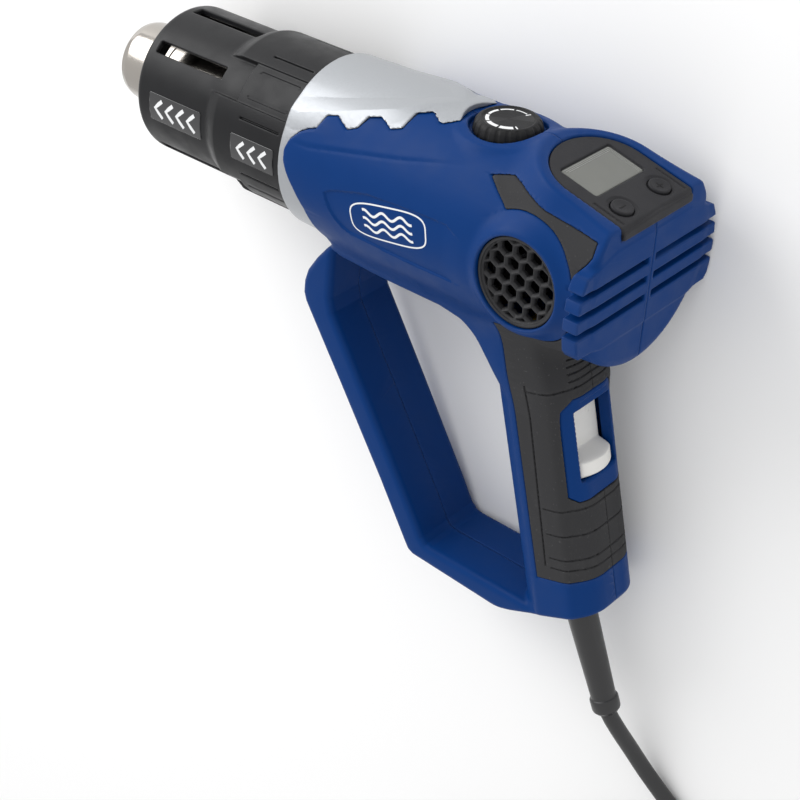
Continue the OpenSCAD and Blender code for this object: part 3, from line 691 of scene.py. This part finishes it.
def shell(x, y, z):
    side = np.abs(y)
    body = outer_body(x, y, z)
    d = smin(body, fins(x, y, z), 1.5)
    screw = from_screws(x, z)
    inside = np.maximum(body + WALL, 4.6 - screw)
    rho = np.hypot(x - INTAKE_X, z - INTAKE_Z)
    inside = smax(inside, -np.maximum(np.hypot(x - DIAL_X, y) - 17, 28.8 - z), 0.4)
    d = smax(d, -inside, 0.3)
    d = smax(d, -vents(x, y, z), 0.6)
    d = smax(d, -np.maximum(screw - 3.6, y + 14), 0.4)
    d = smax(d, -np.maximum(rho - 17.4, 32 - side), 0.9)
    d = smax(d, -np.maximum(rho - 15.6, 20 - side), 0.9)
    r = np.hypot(y, z)
    d = smax(d, -np.maximum(outline(x, z, SILVER_EDGE), np.maximum(33.9 - r, r - 38)), 0.7)
    d = smax(d, x + 0.3 - 6 * ramp(-z, 38, 46), 0.3)
    d = smax(d, -np.maximum(rubber_depth(x, z), -(body + OVERMOULD + 0.05)), 0.6)
    _, w = deck_frame(x, z)
    d = smax(d, -np.maximum(deck_plan(x, y, 19.2, 21.5), -3.2 - w), 0.5)
    d = smax(d, -np.maximum(side - 21, np.maximum(slab(z, 20.3, 30), x + 145.4)), 0.3)
    d = smax(d, -np.maximum(np.hypot(x - DIAL_X, y) - 14.4, 31.4 - z), 1.4)
    d = smax(d, -np.maximum(np.hypot(x - DIAL_X, y) - 5, 10 - z), 0.3)
    e, a = grip_frame(x, z)
    d = smax(d, -frame_gap(y, e, a), 0.4)
    across = (x + 135) * RELIEF_DIR[2] - (z + 156.6) * RELIEF_DIR[0]
    along = (x + 135) * RELIEF_DIR[0] + (z + 156.6) * RELIEF_DIR[2]
    d = smax(d, -np.maximum(np.hypot(across, y) - 6.9, slab(along, -20, 40)), 0.6)
    return d


def left_shell(x, y, z):
    return smax(shell(x, y, z), PARTING - y, 0.5)


def right_shell(x, y, z):
    return smax(shell(x, y, z), PARTING + y, 0.5)


solid("left_housing", left_shell, (-160, -1, -200), (5, 44, 38), 0.7, BLUE, replaces=("left_shell",),
      slot="shell_blue", keep=0.17)
solid("right_housing", right_shell, (-160, -44, -200), (5, 1, 38), 0.7, BLUE, replaces=("right_shell",),
      slot="shell_blue", keep=0.17)


# ---- Rubber, silver cover and guard ----


def rubber(x, y, z):
    body = outer_body(x, y, z)
    e, a = grip_frame(x, z)
    side = np.abs(y)
    d = smax(body, rubber_depth(x, z) + 0.12, 0.5)
    d = smax(d, -(body + OVERMOULD), 0.1)
    d = smax(d, -np.maximum(from_screws(x, z) - 3.6, y + 14), 0.4)
    d = smax(d, -frame_gap(y, e, a), 0.4)
    groove = np.maximum(np.abs(e + 96.6 + 0.03 * (a + 90)) - 0.35, slab(a, -159.5, -80))
    lines = np.abs(a[..., None] - np.array([-82.5, -133.2, -144.2, -155, -159.5], np.float32)).min(-1)
    lines = np.maximum(lines - 0.3, e + 97)
    back = np.maximum(np.abs(a % 3 - 1.5) - 0.3, slab(a, -85, -66))
    back = np.maximum(back, np.maximum(side - 12, e + 103))
    cuts = np.minimum(np.minimum(groove, lines), back)
    return smax(d, -np.maximum(cuts, -(body + 0.6)), 0.35)


def left_rubber(x, y, z):
    return smax(rubber(x, y, z), 0.1 - y, 0.5)


def right_rubber(x, y, z):
    return smax(rubber(x, y, z), 0.1 + y, 0.5)


solid("left_rubber_skin", left_rubber, (-158, -1, -168), (-90, 40, 32), 0.52, RUBBER,
      replaces=("left_overmould",), slot="rubber_grey", keep=0.22)
solid("right_rubber_skin", right_rubber, (-158, -40, -168), (-90, 1, 32), 0.52, RUBBER,
      replaces=("right_overmould",), slot="rubber_grey", keep=0.22)


def silver(x, y, z):
    r = np.hypot(y, z)
    angle = np.degrees(np.arctan2(z, np.abs(y)))
    crease = np.interp(x, [-64, -57, -44, -34, -22, -5], [94, 80, 63, 56, 48, 39])
    along = (angle - crease) * 0.63
    ridge = 0.9 * np.maximum(0, 1 - np.abs(along) / 7) * ramp(x, -66, -50)
    skin = np.interp(x, [-72, -40, -12, -2, 0], [36.4, 36.4, 35.7, 35.3, 35.2])
    d = smax(r - skin - ridge, 34 - r, 0.2)
    d = smin(d, np.maximum(smax(r - 35.2, slab(x, -12, -0.2), 0.6), 34 - r), 0.5)
    d = smax(d, outline(x, z, SILVER_EDGE) + 0.12, 0.6)
    d = smax(d, x + 0.15, 0.8)
    return smax(d, 16.8 - np.hypot(x - DIAL_X, y), 0.6)


solid("silver_cover", silver, (-73, -38, -38), (1, 38, 39), 0.6, SILVER, replaces=("nose_shroud",),
      slot="silver_paint", keep=0.25)


def guard(x, y, z):
    r = np.hypot(y, z)
    angle = np.arctan2(z, y)
    quarter = (angle + math.pi / 4) % (math.pi / 2) - math.pi / 4
    eighth = (angle + math.pi / 8) % (math.pi / 4) - math.pi / 8
    front = smax(r - 31, slab(x, 0.3, 85.5), 3)
    rear = smax(r - 33.0, slab(x, 0.3, 28.7), 1)
    pad_r = 33.6 - 2.7 * np.clip((x - 37) / 7, 0, 1) ** 1.3
    pad = smax(np.maximum(r - pad_r, np.abs(quarter) * 33 - 17.3), slab(x, 0.3, 44.5), 0.6)
    d = smin(smin(front, rear, 0.6), pad, 0.35)
    d = smax(d, -np.maximum(r - 28.6, x - 81.5), 0.3)
    d = smax(d, 23 - r, 1.2)
    slotted = np.abs(z) > 0.4 * np.abs(y)
    slot = np.where(slotted, rounded_box(x - 61, eighth * 31, 19, 2.6, 0.6), 9)
    d = smax(d, -np.maximum(slot, 20 - r), 0.5)
    groove = np.minimum(np.abs(np.abs(quarter) * 33 - 12) - 0.35, np.abs(np.abs(quarter) * 33 - 20.5) - 0.4)
    groove = np.maximum(groove, slab(x, 3, 24))
    return smax(d, -np.maximum(groove, 32.6 - r), 0.4)


solid("guard", guard, (0, -34.5, -34.5), (86.5, 34.5, 34.5), 0.65, GUARD, replaces=("heat_guard",),
      slot="guard_black", keep=0.25)

# ---- Turned pieces ----


def lathe(name, profile, origin, axis, across, material, sides=96, wave=None, **more):
    """A closed solid turned about an axis from (distance along it, radius) pairs; wave varies its radius."""
    axis, across = np.array(axis, float), np.array(across, float)
    other = np.cross(axis, across)
    turn = np.arange(sides) * 2 * math.pi / sides
    ring = np.cos(turn)[:, None] * across + np.sin(turn)[:, None] * other
    points, faces = [], []
    for k, (s, r) in enumerate(profile):
        scale = 1 if wave is None else wave(turn, k)
        points.append(np.array(origin) + s * axis + r * (ring.T * scale).T)
    count = len(profile)
    for k in range(count - 1):
        faces += [(k * sides + i, k * sides + (i + 1) % sides, (k + 1) * sides + (i + 1) % sides,
                   (k + 1) * sides + i) for i in range(sides)]
    if profile[0][1] == profile[-1][1] and profile[0][0] == profile[-1][0]:
        points.pop()
        faces = [tuple(v % ((count - 1) * sides) for v in face) for face in faces]
    else:
        faces += [tuple(range(sides))[::-1], tuple(range((count - 1) * sides, count * sides))]
    return piece(name, np.concatenate(points), faces, material, **more)


def rounded(profile, radius, segments=4):
    """The profile's corners cut to small arcs."""
    made = []
    count = len(profile)
    for k in range(count):
        before, here, after = (np.array(profile[(k + j) % count], float) for j in (-1, 0, 1))
        if k in (0, count - 1):
            made.append(tuple(here))
            continue
        a, b = before - here, after - here
        la, lb = np.linalg.norm(a), np.linalg.norm(b)
        cut = min(radius, 0.45 * la, 0.45 * lb)
        start, end = here + a / la * cut, here + b / lb * cut
        for t in np.linspace(0, 1, segments + 1):
            made.append(tuple((1 - t) ** 2 * start + 2 * t * (1 - t) * here + t * t * end))
    return made


NOZZLE = [(6, 15.9), (6, 16.5), (86, 16.5), (86, 17), (108.4, 17), (111.4, 16.2), (111.9, 15.4),
          (111.3, 14.5), (108, 14.2), (107.6, 15.2), (106.4, 15.9), (6, 15.9)]
lathe("nozzle", rounded(NOZZLE, 0.7), (0, 0, 0), (1, 0, 0), (0, 1, 0), STEEL, replaces=("nozzle_tube",),
      slot="nozzle_steel")

# ---- Display, buttons and dial ----


def from_deck(u, v, w):
    """A point given along the deck, across it and above it."""
    c, s = math.cos(DECK_SLOPE), math.sin(DECK_SLOPE)
    return np.stack([DECK_X + u * c - w * s, v + 0 * u, DECK_Z + u * s + w * c], -1)


DECK_UP = from_deck(np.array(0.0), 0, np.array(1.0)) - from_deck(np.array(0.0), 0, np.array(0.0))
LCD_U, BUTTON_U, BUTTON_Y = -20.65, -37.8, 11.2


def panel(x, y, z):
    u, w = deck_frame(x, z)
    side = np.abs(y)
    plate = smax(deck_plan(x, y, 18.95, 21.25), slab(w, -3, -0.4), 0.9)
    d = smax(plate, -148.2 - x, 1.5)
    window = rounded_box(u - LCD_U, y, 8.5, 14.6, 1.4)
    d = smax(d, -window - 0.75 * np.maximum(-0.9 - w, 0), 0.5)
    button = np.hypot(u - BUTTON_U, side - BUTTON_Y)
    d = smax(d, 4.45 - button, 0.5)
    moat = smax(button - 5.5, -0.8 - w, 0.8)
    d = smax(d, -moat, 0.6)
    groove = np.maximum(np.abs(side - 18.6) - 0.4, np.maximum(slab(u, -44, -31), -0.8 - w))
    d = smax(d, -groove, 0.4)
    lip = smax(smax(side - 20.8, slab(z, 20.4, 24.7 - 0.05 * side), 0.8), slab(x, -149.0, -145.6), 0.8)
    return smin(d, lip, 0.3)


solid("display_surround", panel, (-150, -22, 19), (-104, 22, 38), 0.42, PANEL, replaces=("display_panel",),
      slot="panel_grey", keep=0.3)


def lcd(x, y, z):
    u, w = deck_frame(x, z)
    return smax(rounded_box(u - LCD_U, y, 8.25, 14.35, 1.2), slab(w, -2.6, -1.0), 0.5)


solid("display_glass", lcd, (-134, -15, 25), (-114, 15, 36), 0.4, LCD, replaces=("lcd_window",),
      slot="lcd_glass", keep=0.3)


def strip(path, width, height, closed=False):
    """A thin flat band along points on a surface, each given with the surface's normal there."""
    spots = np.array([p for p, _ in path], float)
    normals = np.array([n for _, n in path], float)
    ahead = np.roll(spots, -1, 0) - np.roll(spots, 1, 0)
    if not closed:
        ahead[0], ahead[-1] = spots[1] - spots[0], spots[-1] - spots[-2]
    across = np.cross(ahead, normals)
    across /= np.linalg.norm(across, axis=1, keepdims=True)
    widths = np.broadcast_to(np.asarray(width, float), (len(spots),))[:, None] / 2
    low, high = spots - normals * height, spots + normals * height
    points = np.stack([low - across * widths, low + across * widths, high + across * widths,
                       high - across * widths], 1).reshape(-1, 3)
    count = len(spots)
    faces = [
        (k * 4 + i, k * 4 + (i + 1) % 4, (k + 1) % count * 4 + (i + 1) % 4, (k + 1) % count * 4 + i)
        for k in range(count - (not closed)) for i in range(4)
    ]
    if not closed:
        faces += [(3, 2, 1, 0), tuple(range((count - 1) * 4, count * 4))]
    return points, faces


def print_strips(name, strips, material, **more):
    """Several thin bands as one piece."""
    points, faces, start = [], [], 0
    for p, f in strips:
        points.append(p)
        faces += [tuple(v + start for v in face) for face in f]
        start += len(p)
    made = piece(name, np.concatenate(points), faces, material, **more)
    made.data.polygons.foreach_set("use_smooth", np.zeros(len(made.data.polygons), bool))
    return made


def deck_strip(spots, width, top, closed=False):
    path = [(from_deck(np.array(float(u)), v, np.array(top)), DECK_UP) for u, v in spots]
    return strip(path, width, 0.05, closed)


# Painted highlights: lighter lines on the display's glass where the stepped edge of its window catches light,
# along its right side and its front
print_strips("painted_step_highlights", [
    deck_strip([(LCD_U - 7.6, -v), (LCD_U + v - 6, -v), (LCD_U + v - 6, v)], 0.2, -0.98)
    for v in (12, 12.7, 13.4)
], LCD_STEP_HIGHLIGHT)


def round_button(name, side, node, body):
    profile = [(-8.5, 2.0), (-4, 2.0), (-4, 4.2), (-0.6, 4.2), (-0.15, 4.0), (0.0, 3.6), (-0.05, 3.1),
               (-0.25, 1.6), (-0.3, 0.05)]
    base = from_deck(np.array(BUTTON_U), side * BUTTON_Y, np.array(0.0))
    made = lathe(name, rounded(profile, 0.25, 3), base, DECK_UP, (0, 1, 0), PANEL, sides=48, body=body,
                 replaces=(node,), slot="panel_grey")
    v = side * BUTTON_Y
    bars = [deck_strip([(BUTTON_U, v - 1.7), (BUTTON_U, v + 1.7)], 0.55, -0.22)]
    if side < 0:
        bars.append(deck_strip([(BUTTON_U - 1.7, v), (BUTTON_U + 1.7, v)], 0.55, -0.22))
    print_strips(name + "_sign", bars, DIAL, body=body)
    return made


round_button("minus_key", 1, "minus_button", "minus")
round_button("plus_key", -1, "plus_button", "plus")

DIAL_PROFILE = rounded([(-9, 0.05), (-9, 3), (-0.0, 3), (0.0, 12.9), (0.9, 13.0), (3.6, 12.3), (4.6, 11.6),
                        (5.1, 10.6), (5.2, 9.9), (4.75, 9.4), (4.7, 0.05)], 0.4, 3)


def add_dial():
    def scallop(turn, k):
        s, r = DIAL_PROFILE[k]
        depth = 0.035 if r > 11.2 and s > 0.3 else 0.0
        return 1 - depth * np.clip(np.cos(turn * 20) * 1.6 - 0.2, 0, 1)

    base = (DIAL_X, 0, DIAL_Z + 0.3)
    lathe("dial", DIAL_PROFILE, base, (0, 0, 1), (1, 0, 0), DIAL, sides=240,
          wave=scallop, body="dial", replaces=("dial_knob",), slot="dial_black")
    strips = []
    top = DIAL_Z + 0.3 + 4.74
    for k in range(6):
        start, end = math.radians(253 + 42 * k), math.radians(289 + 42 * k)
        turn = np.linspace(start, end, 9)
        path = [((DIAL_X + 7.9 * math.cos(t), 7.9 * math.sin(t), top), (0, 0, 1)) for t in turn]
        strips.append(strip(path, 0.5 + 0.28 * k, 0.06))
    for angle in (148, 247):
        t = math.radians(angle)
        path = [((DIAL_X + r * math.cos(t), r * math.sin(t), top), (0, 0, 1)) for r in (6.9, 9.0)]
        strips.append(strip(path, 0.5, 0.06))
    print_strips("dial_scale", strips, PRINT, body="dial")


add_dial()

# ---- Intake grilles ----


def grille(x, y, z):
    side = np.abs(y)
    u, v = x - INTAKE_X, z - INTAKE_Z
    rho = np.hypot(u, v)
    plate = smax(rho - 17.1, slab(side, 32.4, 35.3), 0.4)
    rim = smax(np.abs(rho - 16.5) - 0.6, slab(side, 32.4, 36.2), 0.5)
    row = np.round(v / 5.55)
    local_v = v - row * 5.55
    shift = (row % 2) * 3.2
    cell_u = (u - shift + 3.2) % 6.4 - 3.2
    other_row = row + np.where(local_v >= 0, 1, -1)
    other_u = (u - (other_row % 2) * 3.2 + 3.2) % 6.4 - 3.2
    other_v = v - other_row * 5.55

    def hexagon(p, q):
        p, q = np.abs(p), np.abs(q)
        return np.maximum(p, 0.5 * p + 0.866 * q)

    near = np.minimum(hexagon(cell_u, local_v), hexagon(other_u, other_v))
    flare = 0.75 * np.maximum(side - 34.2, 0)
    hole = np.maximum(near - 2.3 - flare, rho - 15.2)
    return smin(smax(plate, -hole, 0.5), rim, 0.4)


solid("left_grille", grille, (-135, 31.5, -20), (-99, 37, 16), 0.42, GRILLE, keep=0.3,
      replaces=("left_intake_grille",), slot="panel_grey")
solid("right_grille", grille, (-135, -37, -20), (-99, -31.5, 16), 0.42, GRILLE, keep=0.3,
      replaces=("right_intake_grille",), slot="panel_grey")

# ---- Slide switch ----


def bezel(x, y, z):
    e, a = grip_frame(x, z)
    body = grip_section(e, y)
    frame_d = smax(smax(body + 0.05, outline(y, a, FRAME), 0.8), e + 105.4, 0.3)
    window = smax(slab(a, -122.2, -92.5), np.abs(y) - 11, 1.0)
    opening = window - 0.6 * np.maximum(-(e + 111.3), 0)
    d = smax(frame_d, -opening, 0.6)
    ledge = np.maximum(rounded_box(a + 109.8, y, 20.6, 13.3, 2), e + 112.4)
    return smax(d, -np.maximum(ledge, -(body + 0.5)), 0.5)


solid("switch_frame", bezel, (-172, -17, -134), (-120, 17, -56), 0.5, BLUE, replaces=("switch_bezel",),
      slot="shell_blue", keep=0.45)


def slider(x, y, z):
    e, a = grip_frame(x, z)
    side = np.abs(y)
    plate = smax(smax(slab(e, -104.6, -101.2), side - 10.5, 0.4), slab(a, -121.6, -92.6), 0.4)
    rise = (-104.6 - (8.9 - 0.035 * side**2) * ramp(-a, 112, 115.6) - e) / 1.6
    thumb = smax(smax(e + 101.5, rise, 2.5), np.maximum(side - 10.5, slab(a, -121.9, -106)), 2)
    key = smax(smax(slab(e, -102, -96.5), side - 2.4, 0.3), slab(a, -116, -111.2), 0.3)
    return smin(smin(plate, thumb, 0.6), key, 0.2)


solid("switch_thumb", slider, (-165, -11.5, -122), (-118, 11.5, -60), 0.42, SLIDER, body="slider",
      replaces=("switch_slider",), slot="slider_white", keep=0.45)


def add_zero():
    """A small ring at the off end of the switch's plate."""
    turn = np.linspace(0, 2 * math.pi, 24, endpoint=False)
    c, s = math.cos(GRIP_LEAN), math.sin(GRIP_LEAN)
    e, a = -104.6, -99.3 + 1.5 * np.sin(turn)
    path = [((e * c + v * s, u, v * c - e * s), (-c, 0, s)) for u, v in zip(1.1 * np.cos(turn) - 5.5, a)]
    print_strips("switch_zero", [strip(path, 0.45, 0.12, True)], SLIDER, body="slider")


add_zero()

# ---- Label plates and printed marks ----


def labels(x, y, z):
    r = np.hypot(y, z)
    turn = np.arctan2(z, np.abs(y))
    front = smax(rounded_box(x - 62, turn * 31, 15, 6, 0.8), slab(r, 30.7, 31.3), 0.15)
    rear = smax(rounded_box(x - 15.5, turn * 33.6, 11.7, 5.6, 0.8), slab(r, 33.3, 33.9), 0.15)
    return np.minimum(front, rear)


solid("label_plates", labels, (2, -34.5, -8), (78, 34.5, 8), 0.42, LABEL, replaces=("guard_labels",),
      slot="label_black", keep=0.3)


def on_barrel(x, s, r):
    """A point on the guard at a distance round it from its left or right side, and the way out there."""
    return (x, r * math.cos(s / r), r * math.sin(s / r)), (0, math.cos(s / r), math.sin(s / r))


def chevrons(middles, size, r):
    """Chevrons that point to the nozzle, on the left and right of the guard."""
    made = []
    for middle in middles:
        spots = [(middle - size, -1.8 * size), (middle, -0.9 * size), (middle + 0.9 * size, 0),
                 (middle, 0.9 * size), (middle - size, 1.8 * size)]
        path = [on_barrel(x, s, r) for x, s in spots]
        made.append(strip(path, 0.75 * size, 0.05))
        made.append(strip([((p[0], -p[1], -p[2]), (n[0], -n[1], -n[2])) for p, n in path], 0.75 * size, 0.05))
    return made


print_strips("label_print", chevrons((52.5, 58.8, 65.1, 71.4), 2.1, 31.32)
             + chevrons((9.5, 15.5, 21.5), 1.9, 33.92), PRINT)


def on_skin(spots, left=True):
    """Points on the barrel's side, from their place in side view, with the way out there."""
    spots = np.array(spots, np.float32)
    points = np.stack([spots[:, 0], np.full(len(spots), 37.0), spots[:, 1]], 1).astype(np.float32)
    for _ in range(12):
        slope, level, _ = gradient(outer_body, points)
        points[:, 1] -= np.clip(level / np.maximum(slope[:, 1], 0.3), -2, 2)
    slope, _, _ = gradient(outer_body, points, 0.4)
    if not left:
        points, slope = points * (1, -1, 1), slope * (1, -1, 1)
    return list(zip(points.tolist(), slope.tolist()))


def add_mark(left):
    """A rounded border round three rising waves of heat, on the side of the barrel."""
    lean = math.radians(-10)
    turn = np.linspace(0, 2 * math.pi, 64, endpoint=False)
    border = np.stack([18.4 * np.sign(np.cos(turn)) * np.abs(np.cos(turn)) ** 0.55,
                       6.9 * np.sign(np.sin(turn)) * np.abs(np.sin(turn)) ** 0.55], 1)
    along = np.linspace(-12, 12, 40)
    lines = [(border, 0.6, True)]
    for k in (-1, 0, 1):
        lines.append((np.stack([along, 3.2 * k + 1.1 * np.sin(along * 2 * math.pi / 9)], 1), 1.0, False))
    made = []
    for line, width, closed in lines:
        x = -57.2 + line[:, 0] * math.cos(lean) - line[:, 1] * math.sin(lean)
        z = -2.6 + line[:, 0] * math.sin(lean) + line[:, 1] * math.cos(lean)
        made.append(strip(on_skin(np.stack([x, z], 1), left), width, 0.08, closed))
    print_strips("left_mark" if left else "right_mark", made, PRINT)


add_mark(True)
add_mark(False)
